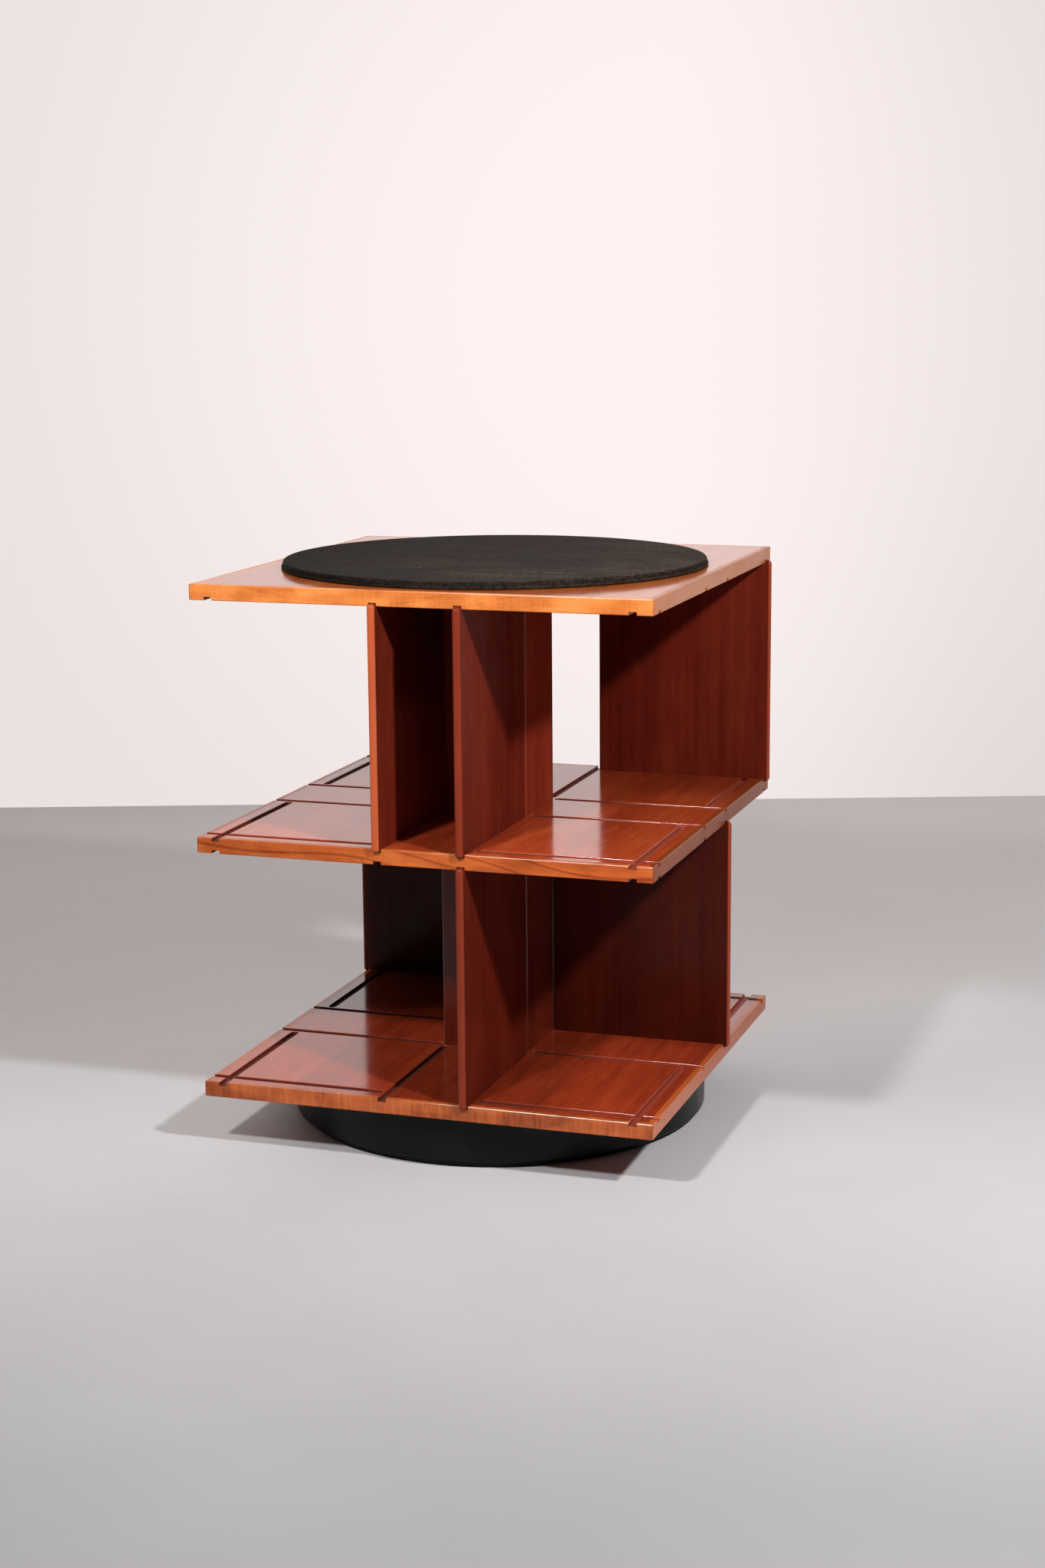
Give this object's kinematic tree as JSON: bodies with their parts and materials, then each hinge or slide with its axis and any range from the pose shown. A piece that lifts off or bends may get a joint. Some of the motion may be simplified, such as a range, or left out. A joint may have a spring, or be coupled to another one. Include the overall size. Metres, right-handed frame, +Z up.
{
  "type": "revolving bookcase",
  "caption": "Square wooden bookcase that revolves on a round black drum, with a hollow core, grooved boards, sliding dividers and a round pad on top.",
  "frame": {"origin": "on the floor at the axis that the bookcase revolves about", "axes": "+Z up along the axis of revolution, -Y the front, +X the right-hand side"},
  "size_m": [0.615, 0.6075, 0.7471],
  "materials": {
    "board_veneer": "satin lacquered veneer",
    "solid_lipping": "satin lacquered solid wood",
    "core_veneer": "satin lacquered veneer",
    "divider_wood": "satin lacquered wood",
    "plain_wood": "raw",
    "black_lacquer": "satin black lacquer",
    "felt": "felt",
    "pad_leather": "matt black leather",
    "steel": "zinc plated",
    "brass": "turned"
  },
  "bodies": {
    "base": {"floor_felt": "felt", "foot_disc": "black_lacquer", "base_disc": "plain_wood", "drum_skirt": "black_lacquer", "drum_deck": "plain_wood", "deck_blocks": "plain_wood", "deck_screws": "steel", "lower_race": "steel", "lower_race_screws": "steel", "pivot_bush": "brass"},
    "cage": {"ball_cage": "brass", "bearing_balls": "steel"},
    "case": {"upper_race": "steel", "upper_race_screws": "steel", "bottom_panel": "board_veneer", "middle_panel": "board_veneer", "top_panel": "board_veneer", "bottom_lipping_front": "solid_lipping", "bottom_lipping_back": "solid_lipping", "bottom_lipping_left": "solid_lipping", "bottom_lipping_right": "solid_lipping", "middle_lipping_front": "solid_lipping", "middle_lipping_back": "solid_lipping", "middle_lipping_left": "solid_lipping", "middle_lipping_right": "solid_lipping", "top_lipping_front": "solid_lipping", "top_lipping_back": "solid_lipping", "top_lipping_left": "solid_lipping", "top_lipping_right": "solid_lipping", "lower_core_front": "core_veneer", "lower_core_back": "core_veneer", "lower_core_left": "core_veneer", "lower_core_right": "core_veneer", "upper_core_front": "core_veneer", "upper_core_back": "core_veneer", "upper_core_left": "core_veneer", "upper_core_right": "core_veneer", "lower_core_cleats": "plain_wood", "upper_core_cleats": "plain_wood", "tie_rod": "steel", "tie_rod_top_washer": "steel", "tie_rod_top_nut": "steel", "tie_rod_lower_washer": "steel", "tie_rod_lower_nut": "steel", "pivot_washer": "steel", "pivot_nut": "steel"},
    "pad": {"top_pad": "pad_leather"},
    "divider_upper_front_left": {"divider_upper_front_left": "divider_wood"},
    "divider_upper_front_right": {"divider_upper_front_right": "divider_wood"},
    "divider_upper_back_right": {"divider_upper_back_right": "divider_wood"},
    "divider_lower_front": {"divider_lower_front": "divider_wood"},
    "divider_lower_right": {"divider_lower_right": "divider_wood"},
    "divider_lower_back_left": {"divider_lower_back_left": "divider_wood"}
  },
  "joints": [
    {"name": "case_turn", "type": "hinge", "parent": "base", "child": "case", "pos_m": [0, 0, 0.0625], "axis": [0, 0, 1], "continuous": true},
    {"name": "cage_roll", "type": "hinge", "parent": "base", "child": "cage", "pos_m": [0, 0, 0.0625], "axis": [0, 0, 1], "continuous": true},
    {"name": "pad_lift", "type": "slide", "parent": "case", "child": "pad", "axis": [0, 0, 1], "range_m": [0, 0.12]},
    {"name": "upper_front_left_slide", "type": "slide", "parent": "case", "child": "divider_upper_front_left", "axis": [0, -1, 0], "range_m": [0, 0.225]},
    {"name": "upper_front_right_slide", "type": "slide", "parent": "case", "child": "divider_upper_front_right", "axis": [0, -1, 0], "range_m": [0, 0.225]},
    {"name": "upper_back_right_slide", "type": "slide", "parent": "case", "child": "divider_upper_back_right", "axis": [1, 0, 0], "range_m": [0, 0.225]},
    {"name": "lower_front_slide", "type": "slide", "parent": "case", "child": "divider_lower_front", "axis": [0, -1, 0], "range_m": [0, 0.225]},
    {"name": "lower_right_slide", "type": "slide", "parent": "case", "child": "divider_lower_right", "axis": [1, 0, 0], "range_m": [0, 0.225]},
    {"name": "lower_back_left_slide", "type": "slide", "parent": "case", "child": "divider_lower_back_left", "axis": [-1, 0, 0], "range_m": [0, 0.225]}
  ],
  "couplings": [
    {"joint": "cage_roll", "follows": "case_turn", "ratio": 0.5}
  ]
}
